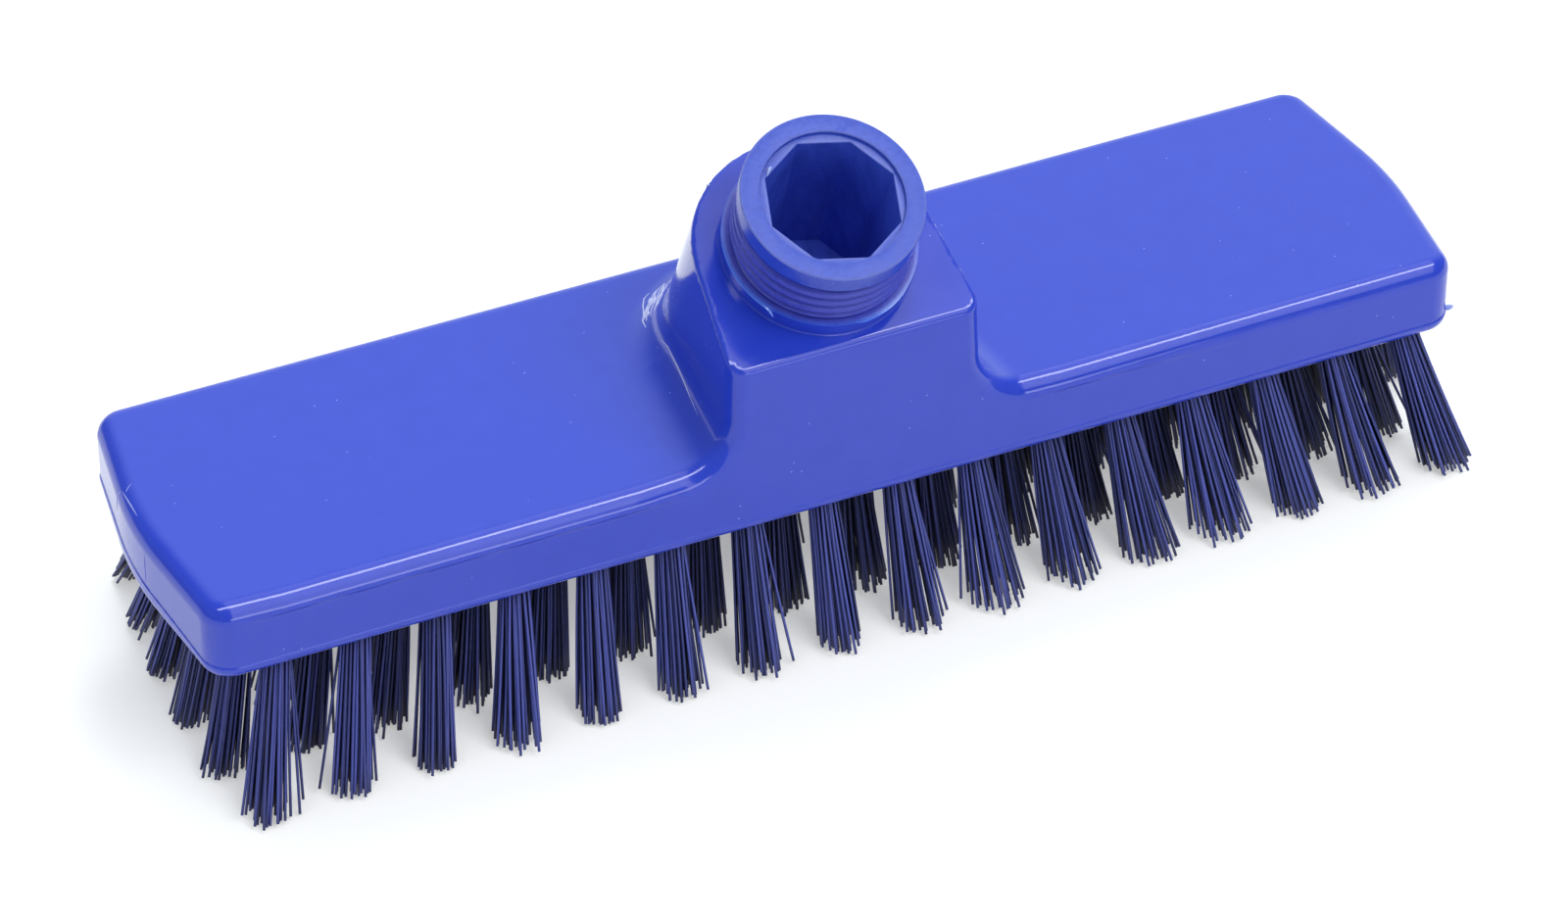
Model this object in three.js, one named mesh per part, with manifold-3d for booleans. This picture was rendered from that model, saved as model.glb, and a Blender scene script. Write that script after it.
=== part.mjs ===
// Floor scrub brush head: one moulded block with a tilted handle socket, over four banks of fanned tufts.
// Millimetres, +Z up, +X along the block. The bristle tips stand on z = 0 and the socket leans to -Y.
import * as THREE from 'three';
import { mergeVertices } from 'three/addons/utils/BufferGeometryUtils.js';
import Module from 'manifold-3d';

const wasm = await Module();
wasm.setup();

// Block
const BLOCK_LENGTH = 230;
const BLOCK_WIDTH = 58.4;
const BLOCK_HEIGHT = 14.2;
const END_BOW = 3.3;
const END_APEX_RADIUS = 66;
const PLAN_CORNER_RADIUS = 4.5;
const TOP_EDGE_RADIUS = 2.6;
const BOTTOM_EDGE_RADIUS = 2.4;
const PARTING_HEIGHT = 3;
const WALL_DRAFT = THREE.MathUtils.degToRad(0.9);

// Pedestal: a D-shaped stump along the socket axis, flush with the front face of the block
const PEDESTAL_FRONT_WIDTH = 44.6;
const PEDESTAL_FRONT_RISE = 18;
const PEDESTAL_ARCH_RADIUS = 20.5;
const PEDESTAL_FOOT_RADIUS = 8;
const PEDESTAL_BACK_FOOT = 2.8;
const PEDESTAL_FOOT_SINK = 0.15;
const PEDESTAL_SHOULDER_RADIUS = 0.9;

// Socket: heights are measured along its axis from the pedestal's shoulder
const SOCKET_TILT = THREE.MathUtils.degToRad(26);
const SOCKET_SETBACK = 0.5;
const NECK_RADIUS = 16;
const NECK_HEIGHT = 3.6;
const RELIEF_RADIUS = 14.4;
const RELIEF_WIDTH = 0.6;
const THREAD_MEAN_RADIUS = 14.8;
const COLLAR_RADIUS = 15.15;
const COLLAR_LENGTH = 4.2;
const SOCKET_HEIGHT = 17.2;
const RIM_CHAMFER = 0.4;

// Bore: a tapered octagon for the handle under a shallow round recess
const RECESS_RADIUS = 11.75;
const RECESS_DEPTH = 1.15;
const OCTAGON_SIDES = 8;
const OCTAGON_MOUTH_RADIUS = 11.42;
const OCTAGON_FLOOR_RADIUS = 9.8;
const OCTAGON_TURN = THREE.MathUtils.degToRad(8.5);
const BORE_DEPTH = 31;

// Tufts: every tuft leans out from its root, further at the edges of the field
const TUFT_ROWS = 6;
const TUFT_COLUMNS = 16;
const TRIM_LENGTH = 26;
const FIELD_SHIFT = 2;
const ROOT_SIDE_MARGIN = 6.6;
const ROOT_END_MARGIN = 9.7;
const SIDE_SPLAY = 10.8;
const END_SPLAY = 6.3;
const ROW_BOW = 4;
const STRANDS_PER_TUFT = 5;
const STRAND_RADIUS = 0.75;
const STRAND_ROOT_SPREAD = 1.7;
const STRAND_TIP_SPREAD = 3.1;

// Backing: the slice of the underside that carries each bank of tufts
const BANK_COUNT = 4;
const BACKING_THICKNESS = 2;
const POCKET_LIP = 0.4;
const SEAT_GAP = 0.3;

// Facets
const EDGE_STEPS = 4;
const APEX_STEPS = 6;
const ARCH_STEPS = 20;
const SOCKET_SIDES = 40;
const LEAST_CORNER_RADIUS = 0.75;
const CUT_OVERRUN = 2;
const MERGE_TOLERANCE = 1e-4;

// Levels and places that follow from the sizes above
const UNDERSIDE = TRIM_LENGTH;
const BLOCK_TOP = UNDERSIDE + BLOCK_HEIGHT;
const FRONT_TO_AXIS = BLOCK_WIDTH / 2 + SOCKET_SETBACK;
const SHOULDER = FRONT_TO_AXIS * Math.sin(SOCKET_TILT) + PEDESTAL_FRONT_RISE * Math.cos(SOCKET_TILT);
const RIM = SHOULDER + SOCKET_HEIGHT;
const POCKET_INSET = BOTTOM_EDGE_RADIUS + POCKET_LIP;

// Slope of the straight stretches of an end, from its bow and the radius of its apex
function endSlope() {
  const half = BLOCK_WIDTH / 2;
  const reach = END_APEX_RADIUS - END_BOW;
  return Math.atan2(half, reach) - Math.acos(END_APEX_RADIUS / Math.hypot(half, reach));
}

// Points of a closed anticlockwise polygon whose corners are rounded to their own radii
function roundedPolygon(corners) {
  const points = [];
  corners.forEach((corner, index) => {
    const before = corners[(index + corners.length - 1) % corners.length].at;
    const after = corners[(index + 1) % corners.length].at;
    const along = corner.at.clone().sub(before).normalize();
    const away = after.clone().sub(corner.at).normalize();
    const turn = Math.atan2(along.cross(away), along.dot(away));
    const inward = new THREE.Vector2(-along.y, along.x);
    const centre = corner.at.clone().addScaledVector(along, -corner.radius * Math.tan(turn / 2));
    centre.addScaledVector(inward, corner.radius);
    const start = Math.atan2(-inward.y, -inward.x);
    for (let step = 0; step <= corner.steps; step++) {
      const angle = start + (turn * step) / corner.steps;
      const spoke = new THREE.Vector2(Math.cos(angle), Math.sin(angle));
      points.push(centre.clone().addScaledVector(spoke, corner.radius));
    }
  });
  return points;
}

// Plan outline of the block, drawn in from its widest line by an inset
function blockOutline(inset) {
  const slope = endSlope();
  const half = BLOCK_WIDTH / 2 - inset;
  const apex = BLOCK_LENGTH / 2 + END_APEX_RADIUS * (1 / Math.cos(slope) - 1) - inset / Math.cos(slope);
  const shoulder = apex - half * Math.tan(slope);
  const radius = Math.max(PLAN_CORNER_RADIUS - inset, LEAST_CORNER_RADIUS);
  const corner = (x, y) => ({ at: new THREE.Vector2(x, y), radius, steps: EDGE_STEPS });
  const tip = (x) => ({ at: new THREE.Vector2(x, 0), radius: END_APEX_RADIUS - inset, steps: APEX_STEPS });
  return roundedPolygon([
    corner(shoulder, -half),
    tip(apex),
    corner(shoulder, half),
    corner(-shoulder, half),
    tip(-apex),
    corner(-shoulder, -half),
  ]);
}

// Closed body through rings with equal counts, each anticlockwise from above, from the lowest up
function loft(rings) {
  const count = rings[0].length;
  const indices = [];
  for (let level = 0; level + 1 < rings.length; level++) {
    for (let i = 0; i < count; i++) {
      const next = (i + 1) % count;
      const low = level * count;
      const high = low + count;
      indices.push(low + i, low + next, high + next, low + i, high + next, high + i);
    }
  }
  const flat = (ring) => ring.map((point) => new THREE.Vector2(point.x, point.y));
  const last = (rings.length - 1) * count;
  for (const [a, b, c] of THREE.ShapeUtils.triangulateShape(flat(rings[0]), [])) {
    indices.push(a, c, b);
  }
  for (const face of THREE.ShapeUtils.triangulateShape(flat(rings.at(-1)), [])) {
    indices.push(...face.map((corner) => last + corner));
  }
  const geometry = new THREE.BufferGeometry().setFromPoints(rings.flat());
  geometry.setIndex(indices);
  return geometry;
}

// Boolean solid of a closed geometry
function toSolid(geometry) {
  const bare = new THREE.BufferGeometry();
  bare.setAttribute('position', geometry.getAttribute('position'));
  bare.setIndex(geometry.getIndex());
  const merged = mergeVertices(bare, MERGE_TOLERANCE);
  const index = merged.getIndex().array;
  const triangles = [];
  for (let i = 0; i < index.length; i += 3) {
    const corners = index.subarray(i, i + 3);
    if (new Set(corners).size === 3) {
      triangles.push(...corners);
    }
  }
  return new wasm.Manifold(new wasm.Mesh({
    numProp: 3,
    vertProperties: new Float32Array(merged.getAttribute('position').array),
    triVerts: new Uint32Array(triangles),
  }));
}

// Geometry of a boolean solid
function toGeometry(solid) {
  const mesh = solid.getMesh();
  const geometry = new THREE.BufferGeometry();
  geometry.setAttribute('position', new THREE.BufferAttribute(new Float32Array(mesh.vertProperties), 3));
  geometry.setIndex(new THREE.BufferAttribute(new Uint32Array(mesh.triVerts), 1));
  geometry.computeVertexNormals();
  return geometry;
}

// Straight-walled body of the block's outline between two levels
function blockSlice(inset, low, high) {
  const ring = (z) => blockOutline(inset).map((point) => new THREE.Vector3(point.x, point.y, z));
  return toSolid(loft([ring(low), ring(high)]));
}

// How far the drafted wall stands in from the parting line at a height over the underside
function draftInset(height) {
  return Math.max(height - PARTING_HEIGHT, 0) * Math.tan(WALL_DRAFT);
}

// Slab of the block, with rounded edges and walls that draft away from the parting line
function slabSolid() {
  const levels = [];
  for (let step = 0; step <= EDGE_STEPS; step++) {
    const angle = (Math.PI / 2) * (step / EDGE_STEPS);
    const height = BOTTOM_EDGE_RADIUS * (1 - Math.cos(angle));
    levels.push({ height, inset: BOTTOM_EDGE_RADIUS * (1 - Math.sin(angle)) });
  }
  levels.push({ height: PARTING_HEIGHT, inset: 0 });
  const wallTop = BLOCK_HEIGHT - TOP_EDGE_RADIUS;
  for (let step = 0; step <= EDGE_STEPS; step++) {
    const angle = (Math.PI / 2) * (step / EDGE_STEPS);
    const height = wallTop + TOP_EDGE_RADIUS * Math.sin(angle);
    levels.push({ height, inset: draftInset(wallTop) + TOP_EDGE_RADIUS * (1 - Math.cos(angle)) });
  }
  return toSolid(loft(levels.map(({ height, inset }) => blockOutline(inset).map(
    (point) => new THREE.Vector3(point.x, point.y, UNDERSIDE + height),
  ))));
}

// Frame of the socket: z runs along its axis from the middle of the block's top, x stays along the block
const socketFrame = new THREE.Matrix4()
  .makeRotationX(SOCKET_TILT)
  .setPosition(0, SOCKET_SETBACK, BLOCK_TOP);

// Place across the socket axis, towards the back, of the front face at a height over the block's top
function frontFaceAcross(height) {
  return (height * Math.tan(SOCKET_TILT) - FRONT_TO_AXIS) * Math.cos(SOCKET_TILT);
}

// Half width of the pedestal at a place across the socket axis: it widens from the arch to the front
function pedestalHalfWidth(across) {
  const widening = PEDESTAL_FRONT_WIDTH / 2 - PEDESTAL_ARCH_RADIUS;
  return PEDESTAL_ARCH_RADIUS + (widening * across) / frontFaceAcross(PEDESTAL_FRONT_RISE);
}

// D-shaped section of the pedestal across the socket axis, grown outwards by a flare that is less at the back
function pedestalSection(flare) {
  const front = frontFaceAcross(-BLOCK_HEIGHT);
  const corner = pedestalHalfWidth(front) + flare;
  const backShare = PEDESTAL_BACK_FOOT / PEDESTAL_FOOT_RADIUS;
  const points = [new THREE.Vector2(corner, front)];
  for (let step = 0; step <= ARCH_STEPS; step++) {
    const angle = (Math.PI * step) / ARCH_STEPS;
    const radius = PEDESTAL_ARCH_RADIUS + flare * THREE.MathUtils.lerp(1, backShare, Math.sin(angle));
    points.push(new THREE.Vector2(radius * Math.cos(angle), radius * Math.sin(angle)));
  }
  points.push(new THREE.Vector2(-corner, front));
  return points;
}

// Stump of the pedestal along the socket axis, with a hollow-rounded foot and a rounded shoulder
function stumpSolid() {
  const levelRing = (flare, height) => pedestalSection(flare).map(({ x, y }) => {
    const along = (height - y * Math.sin(SOCKET_TILT)) / Math.cos(SOCKET_TILT);
    return new THREE.Vector3(x, y, along).applyMatrix4(socketFrame);
  });
  const squareRing = (flare, along) => pedestalSection(flare).map(
    ({ x, y }) => new THREE.Vector3(x, y, along).applyMatrix4(socketFrame),
  );
  const rings = [levelRing(PEDESTAL_FOOT_RADIUS, -BLOCK_HEIGHT / 2)];
  for (let step = 0; step <= EDGE_STEPS; step++) {
    const angle = (Math.PI / 2) * (step / EDGE_STEPS);
    const flare = PEDESTAL_FOOT_RADIUS * (1 - Math.sin(angle));
    rings.push(levelRing(flare, PEDESTAL_FOOT_RADIUS * (1 - Math.cos(angle)) - PEDESTAL_FOOT_SINK));
  }
  rings.push(squareRing(0, SHOULDER - PEDESTAL_SHOULDER_RADIUS));
  rings.push(squareRing(-PEDESTAL_SHOULDER_RADIUS, SHOULDER));
  return toSolid(loft(rings));
}

// Body whose front view is the pedestal standing on the block, with every front edge rounded
function frontViewSolid() {
  const foot = PEDESTAL_FOOT_RADIUS;
  const sink = PEDESTAL_FOOT_SINK;
  const wallFoot = pedestalHalfWidth(frontFaceAcross(foot));
  const head = SHOULDER + PEDESTAL_ARCH_RADIUS;
  const wallHead = pedestalHalfWidth(frontFaceAcross(head));
  const reach = wallFoot + 2 * foot;
  const shape = new THREE.Shape();
  shape.moveTo(-reach, -BLOCK_HEIGHT);
  shape.lineTo(reach, -BLOCK_HEIGHT);
  shape.lineTo(reach, -sink);
  shape.absarc(wallFoot + foot, foot - sink, foot, -Math.PI / 2, -Math.PI, true);
  shape.lineTo(wallHead, head);
  shape.lineTo(-wallHead, head);
  shape.absarc(-wallFoot - foot, foot - sink, foot, 0, -Math.PI / 2, true);
  shape.lineTo(-reach, -sink);
  const front = BLOCK_WIDTH / 2 - draftInset(BLOCK_HEIGHT - TOP_EDGE_RADIUS) - sink;
  const geometry = new THREE.ExtrudeGeometry(shape, {
    depth: 2 * (front - TOP_EDGE_RADIUS),
    bevelThickness: TOP_EDGE_RADIUS,
    bevelSize: TOP_EDGE_RADIUS,
    bevelOffset: -TOP_EDGE_RADIUS,
    bevelSegments: EDGE_STEPS,
    curveSegments: 2 * EDGE_STEPS,
  });
  geometry.rotateX(Math.PI / 2);
  geometry.translate(0, front - TOP_EDGE_RADIUS, BLOCK_TOP);
  return toSolid(geometry);
}

// Turned body of the socket: neck, thread relief, thread at its mean radius and collar with a chamfered rim
function socketSolid() {
  const neckTop = SHOULDER + NECK_HEIGHT;
  const reliefTop = neckTop + RELIEF_WIDTH;
  const collarFoot = RIM - COLLAR_LENGTH;
  const profile = [
    [0, SHOULDER - NECK_RADIUS / 2],
    [NECK_RADIUS, SHOULDER - NECK_RADIUS / 2],
    [NECK_RADIUS, neckTop],
    [RELIEF_RADIUS, neckTop],
    [RELIEF_RADIUS, reliefTop],
    [THREAD_MEAN_RADIUS, reliefTop],
    [THREAD_MEAN_RADIUS, collarFoot],
    [COLLAR_RADIUS, collarFoot],
    [COLLAR_RADIUS, RIM - RIM_CHAMFER],
    [COLLAR_RADIUS - RIM_CHAMFER, RIM],
    [0, RIM],
  ].map(([radius, along]) => new THREE.Vector2(radius, along));
  const geometry = new THREE.LatheGeometry(profile, SOCKET_SIDES);
  geometry.rotateX(Math.PI / 2);
  geometry.applyMatrix4(socketFrame);
  return toSolid(geometry);
}

// Round recess in the rim and the tapered octagonal bore below it
function boreSolid() {
  const recess = new THREE.CylinderGeometry(
    RECESS_RADIUS, RECESS_RADIUS, RECESS_DEPTH + CUT_OVERRUN, SOCKET_SIDES,
  );
  recess.rotateX(Math.PI / 2);
  recess.translate(0, 0, RIM + (CUT_OVERRUN - RECESS_DEPTH) / 2);
  recess.applyMatrix4(socketFrame);
  const octagon = (radius, along) => Array.from({ length: OCTAGON_SIDES }, (_, side) => {
    const angle = OCTAGON_TURN + (2 * Math.PI * side) / OCTAGON_SIDES;
    return new THREE.Vector3(radius * Math.cos(angle), radius * Math.sin(angle), along)
      .applyMatrix4(socketFrame);
  });
  const hole = loft([
    octagon(OCTAGON_FLOOR_RADIUS, RIM - BORE_DEPTH),
    octagon(OCTAGON_MOUTH_RADIUS, RIM - RECESS_DEPTH / 2),
  ]);
  return toSolid(recess).add(toSolid(hole));
}

// Moulded block: slab, pedestal and socket in one body, with the bore and the seat of the tuft banks cut out
function brushBlock() {
  const pocketTop = UNDERSIDE + BACKING_THICKNESS + SEAT_GAP;
  const solid = slabSolid()
    .add(stumpSolid().intersect(frontViewSolid()))
    .add(socketSolid())
    .subtract(boreSolid())
    .subtract(blockSlice(POCKET_INSET, UNDERSIDE - CUT_OVERRUN, pocketTop));
  return toGeometry(solid);
}

// Root and tip of a tuft by its column and row
function tuftLine(column, row) {
  const across = (2 * row) / (TUFT_ROWS - 1) - 1;
  const along = (2 * column) / (TUFT_COLUMNS - 1) - 1;
  const bow = ROW_BOW * (1 - across * across);
  const rootX = BLOCK_LENGTH / 2 - END_BOW - ROOT_END_MARGIN + bow;
  const rootY = BLOCK_WIDTH / 2 - ROOT_SIDE_MARGIN;
  return {
    root: new THREE.Vector3(FIELD_SHIFT + along * rootX, across * rootY, UNDERSIDE),
    tip: new THREE.Vector3(FIELD_SHIFT + along * (rootX + END_SPLAY), across * (rootY + SIDE_SPLAY), 0),
  };
}

// Three-sided strand from its flat tip up into the backing, round a place in its tuft
function strand(column, row, place) {
  const { root, tip } = tuftLine(column, row);
  const ringPlaces = STRANDS_PER_TUFT - 1;
  const angle = (2 * Math.PI * (place + 0.5)) / ringPlaces;
  const spread = place < ringPlaces ? 1 : 0;
  const spoke = new THREE.Vector3(Math.cos(angle), Math.sin(angle), 0).multiplyScalar(spread);
  root.addScaledVector(spoke, STRAND_ROOT_SPREAD);
  tip.addScaledVector(spoke, STRAND_TIP_SPREAD);
  const anchored = tip.clone().lerp(root, (UNDERSIDE + BACKING_THICKNESS / 2) / UNDERSIDE);
  const triangle = (centre) => [0, 1, 2].map((side) => {
    const turn = angle + (2 * Math.PI * side) / 3;
    return new THREE.Vector3(Math.cos(turn), Math.sin(turn), 0).multiplyScalar(STRAND_RADIUS).add(centre);
  });
  return toSolid(loft([triangle(tip), triangle(anchored)]));
}

// Place along the block halfway between the tufts of a column and those of the column before it
function bankEdge(column) {
  const middleRow = Math.floor(TUFT_ROWS / 2);
  return (tuftLine(column - 1, middleRow).root.x + tuftLine(column, middleRow).root.x) / 2;
}

// Bank of tufts: its slice of the backing with every strand that it carries
function bristleBank(bank) {
  const columns = TUFT_COLUMNS / BANK_COUNT;
  const first = Math.round(bank * columns);
  const end = Math.round((bank + 1) * columns);
  const left = first === 0 ? -BLOCK_LENGTH : bankEdge(first) + SEAT_GAP / 2;
  const right = end === TUFT_COLUMNS ? BLOCK_LENGTH : bankEdge(end) - SEAT_GAP / 2;
  const window = new THREE.BoxGeometry(right - left, 2 * BLOCK_WIDTH, 2 * BLOCK_HEIGHT);
  window.translate((left + right) / 2, 0, UNDERSIDE);
  let solid = blockSlice(POCKET_INSET + SEAT_GAP, UNDERSIDE, UNDERSIDE + BACKING_THICKNESS)
    .intersect(toSolid(window));
  for (let column = first; column < end; column++) {
    for (let row = 0; row < TUFT_ROWS; row++) {
      for (let place = 0; place < STRANDS_PER_TUFT; place++) {
        solid = solid.add(strand(column, row, place));
      }
    }
  }
  return toGeometry(solid);
}

// Looks
const blockPlastic = () => new THREE.MeshStandardMaterial({ color: 0x3040c8, roughness: 0.28, metalness: 0 });
const filament = () => new THREE.MeshStandardMaterial({ color: 0x2a2d80, roughness: 0.45, metalness: 0 });

function namedMesh(name, geometry, material) {
  const mesh = new THREE.Mesh(geometry, material);
  mesh.name = name;
  return mesh;
}

// Assembly, with its origin under the middle of its bounding box
const brush = new THREE.Group();
brush.add(namedMesh('brush_block', brushBlock(), blockPlastic()));
for (let bank = 0; bank < BANK_COUNT; bank++) {
  brush.add(namedMesh(`bristle_bank_${bank + 1}`, bristleBank(bank), filament()));
}
const middle = new THREE.Box3().setFromObject(brush, true).getCenter(new THREE.Vector3());
brush.position.set(-middle.x, -middle.y, 0);

const floorScrubBrush = new THREE.Group();
floorScrubBrush.add(brush);

export default floorScrubBrush;
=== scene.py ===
"""Looks of a floor scrub brush head: the moulded block with its threaded socket, 96 tufts and their anchors.

Shapes are worked out in millimetres in the block's own frame: x along the block, z up from the underside,
the origin in the middle of the underside. They are moved into the shared frame, in metres, as they are made.
"""
import math

import bpy
import numpy as np
from mathutils import Matrix, Vector


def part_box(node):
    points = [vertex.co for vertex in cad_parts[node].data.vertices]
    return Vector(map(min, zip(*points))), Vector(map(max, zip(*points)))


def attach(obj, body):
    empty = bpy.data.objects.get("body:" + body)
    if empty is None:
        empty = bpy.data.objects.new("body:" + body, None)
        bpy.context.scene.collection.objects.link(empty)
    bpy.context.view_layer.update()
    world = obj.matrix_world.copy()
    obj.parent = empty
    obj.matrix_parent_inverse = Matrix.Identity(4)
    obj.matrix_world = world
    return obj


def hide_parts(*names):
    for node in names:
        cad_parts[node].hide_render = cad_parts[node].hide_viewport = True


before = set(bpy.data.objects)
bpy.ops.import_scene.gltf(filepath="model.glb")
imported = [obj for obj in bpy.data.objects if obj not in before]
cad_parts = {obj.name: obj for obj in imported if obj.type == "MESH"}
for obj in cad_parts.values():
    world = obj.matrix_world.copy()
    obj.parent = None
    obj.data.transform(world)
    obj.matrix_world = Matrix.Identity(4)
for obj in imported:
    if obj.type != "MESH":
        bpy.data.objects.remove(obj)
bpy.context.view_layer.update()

MM = 0.001
block_low, block_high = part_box("brush_block")
BLOCK_ORIGIN = np.array([(block_low.x + block_high.x) / 2, 0.0, block_low.z])

# Block
BLOCK_LENGTH = (block_high.x - block_low.x) / MM
BLOCK_WIDTH = 58.4
BLOCK_HEIGHT = 14.2
END_BOW = 3.3
END_APEX_RADIUS = 66.0
PLAN_CORNER_RADIUS = 4.5
TOP_EDGE_RADIUS = 3.3
RIGHT_EDGE_RADIUS = 3.0
RIGHT_EDGE_PLACES = (38, 75)
BOTTOM_EDGE_RADIUS = 2.4
PARTING_HEIGHT = 2.6
PARTING_ARCH = 1.3
PARTING_STEP = 0.18
PARTING_RAMP = 0.25
WALL_DRAFT = math.tan(math.radians(0.9))

# Brow along the top of the front wall: places along the block, and the share of its reach at each
BROW_REACH = 0.45
BROW_DEPTH = 2.1
BROW_HOLLOW = 1.7
BROW_PLACES = (-107, -99, -38, -30, 30, 38, 75)
BROW_SHARES = (0, 1, 1, 0, 0, 0.7, 0)

# Grid of the block's mesh: its zones and steps in plan, and the end and step of each stretch upwards
GRID_LEAD = 1.0
GRID_TAIL = 1.2
GRID_FLOOR = -0.7
GRID_RISE = ((2.3, 0.4), (4.2, 0.1), (11, 0.8), (12.6, 0.12), (15, 0.4), (51, 0.75))
END_ZONE = 8.0
SIDE_ZONE = 5.0
PEDESTAL_ZONE = 33.0
EDGE_STEP = 0.6
WING_STEP = 1.8
PEDESTAL_STEP = 0.8
MIDDLE_STEP = 0.9
SETTLE_ROUNDS = 4

# Pedestal
PEDESTAL_ARCH_RADIUS = 20.5
PEDESTAL_WIDENING = math.radians(5.5)
PEDESTAL_FRONT_RISE = 18.0
PEDESTAL_FOOT_RADIUS = 8.0
PEDESTAL_BACK_FOOT = 2.8
SHOULDER_RADIUS = 0.65

# Socket, with heights along its axis from the pedestal's shoulder
SOCKET_TILT = math.radians(26)
SOCKET_SETBACK = 0.5
SOCKET_LEAN = 0.035
SOCKET_HEIGHT = 17.2
SOCKET_SINK = 3.0
NECK_RADIUS = 16.0
NECK_HEIGHT = 3.6
NECK_FILLET = 0.4
RELIEF_RADIUS = 14.4
RELIEF_WIDTH = 0.45
THREAD_CREST_RADIUS = 15.1
THREAD_DEPTH = 0.8
THREAD_PITCH = 2.38
THREAD_GROOVE = 0.42
THREAD_FLANK = 0.4
THREAD_CROWN = 0.12
COLLAR_RADIUS = 15.15
COLLAR_LENGTH = 4.2
RIM_ROUND = 0.4
SOCKET_SIDES = 160
ROW_STEP = 0.12
FILLET_TURNS = np.radians([25, 38, 51, 64, 77, 90])
RIM_TURNS = np.radians([0, 22, 45, 68, 90])

# Flash round the neck: turns in degrees, and the share of its reach at each
FLASH_REACH = 0.5
FLASH_THICKNESS = 0.3
FLASH_TURNS = (0, 150, 172, 216, 221, 266, 274, 294, 314, 360)
FLASH_SHARES = (0.2, 0.3, 0.7, 1, 0.3, 0.3, 1, 1, 0.4, 0.2)

# Bore
RECESS_RADIUS = 11.82
RECESS_DEPTH = 0.8
RECESS_ROUND = 0.3
RECESS_TURNS = np.radians([0, 30, 60, 90])
OCTAGON_SIDES = 8
OCTAGON_MOUTH_RADIUS = 11.36
OCTAGON_FLOOR_RADIUS = 9.8
OCTAGON_TURN = math.radians(8.5)
OCTAGON_CHAMFER = 0.12
BORE_SHIFT = 0.28
BORE_DEPTH = 31.0
CUT_OVERRUN = 2.0

# Shading of the block: what counts as an edge, as on the surface, how satin some parts are, and how strong
# the painted highlight on the socket's edges is
SHARP_ANGLE = math.radians(32)
SURFACE_REACH = 3e-3
COLLAR_SATIN = 0.4
EDGE_PAINTED_HIGHLIGHT = 0.16

# Layout of the tufts and their holes
TUFT_ROWS = 6
TUFT_COLUMNS = 16
BANK_COUNT = 4
TRIM_LENGTH = block_low.z / MM
ROOT_SHIFT = 2.8
TIP_SHIFT = 2.0
ROOT_SIDE_MARGIN = 6.6
ROOT_END_MARGIN = 9.7
SIDE_SPLAY = 10.8
END_SPLAY = 6.3
ROW_BOW = 4.0
STAGGERED_ROWS = (1, 4)
ROW_STAGGER = -4.2
ROW_SQUEEZE = -1.5
HOLE_RADIUS = 2.65
HOLE_DEPTH = 9.0
HOLE_POINT = 1.0
HOLE_TAPER = 0.94
HOLE_POINT_SHARE = 0.3
HOLE_SIDES = 24

# Filaments: the tufts fan out more in the right-hand columns
FOLDS_PER_TUFT = 28
FILAMENT_RADIUS = 0.25
FILAMENT_SIDES = 5
FREE_POINTS = 7
TUFT_ROOT_RADIUS = 2.35
FRONT_TIP_RADIUS = 4.1
BACK_TIP_RADIUS = 3.4
FAN_COLUMNS = (6, 8)
FAN_SHARES = (0.9, 1.18)
FAN_SPREAD = (0.9, 1.1)
TIP_SCATTER = 0.22
STRAY_SHARE = 0.07
STRAY_REACH = (1.15, 1.75)
TRIM_SCATTER = 0.7
TRIM_DOME = 0.6
TRIM_LIMITS = (0.02, 3.2)
FILAMENT_BOW = 0.1
EARLY_LEAN = 0.9
FOLD_LAYERS = 3
FOLD_CLEARANCE = 1.0
FOLD_RISE = 0.35
HELD_GAP = 0.3
INNER_RISE = 0.5

# Anchors: the share of the length and of the thickness at each ring of the wire
ANCHOR_LENGTH = 6.6
ANCHOR_HEIGHT = 1.7
ANCHOR_THICKNESS = 0.34
ANCHOR_CLEARANCE = 1.2
ANCHOR_SIDES = 12
ANCHOR_SQUARENESS = 0.6
ANCHOR_RINGS = ((-0.5, 0.6), (-0.46, 1.0), (0.46, 1.0), (0.5, 0.6))
ANCHOR_TURN = 0.25
ANCHOR_SWAY = 0.1
ANCHOR_SHARP_ANGLE = math.radians(40)

# Moulding marks: angles in degrees round the pedestal, and pairs for the range of a random draw
RIDGE_STEPS = 20
RIDGE_SIDES = 8
RIDGE_SPAN = (0.04, 0.96)
RIDGE_SWELL = 0.6
RIDGE_SETTLE_ROUNDS = 8
WRINKLE_COUNT = 9
WRINKLE_PLACES = 5
WRINKLE_START = (118, 134)
WRINKLE_LENGTH = (14, 30)
WRINKLE_RADIUS = (23, 26)
WRINKLE_DRIFT = (-2.5, -0.5)
WRINKLE_WANDER = 0.35
WRINKLE_HEIGHT = 15.5
WRINKLE_THICKNESS = (0.14, 0.26)
SPLAY_COUNT = 3
SPLAY_ANGLE = (131, 150)
SPLAY_RADIUS = (23.4, 25)
SPLAY_LENGTH = 7
SPLAY_HEIGHT = 15
SPLAY_THICKNESS = (0.7, 1.0)

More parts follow.
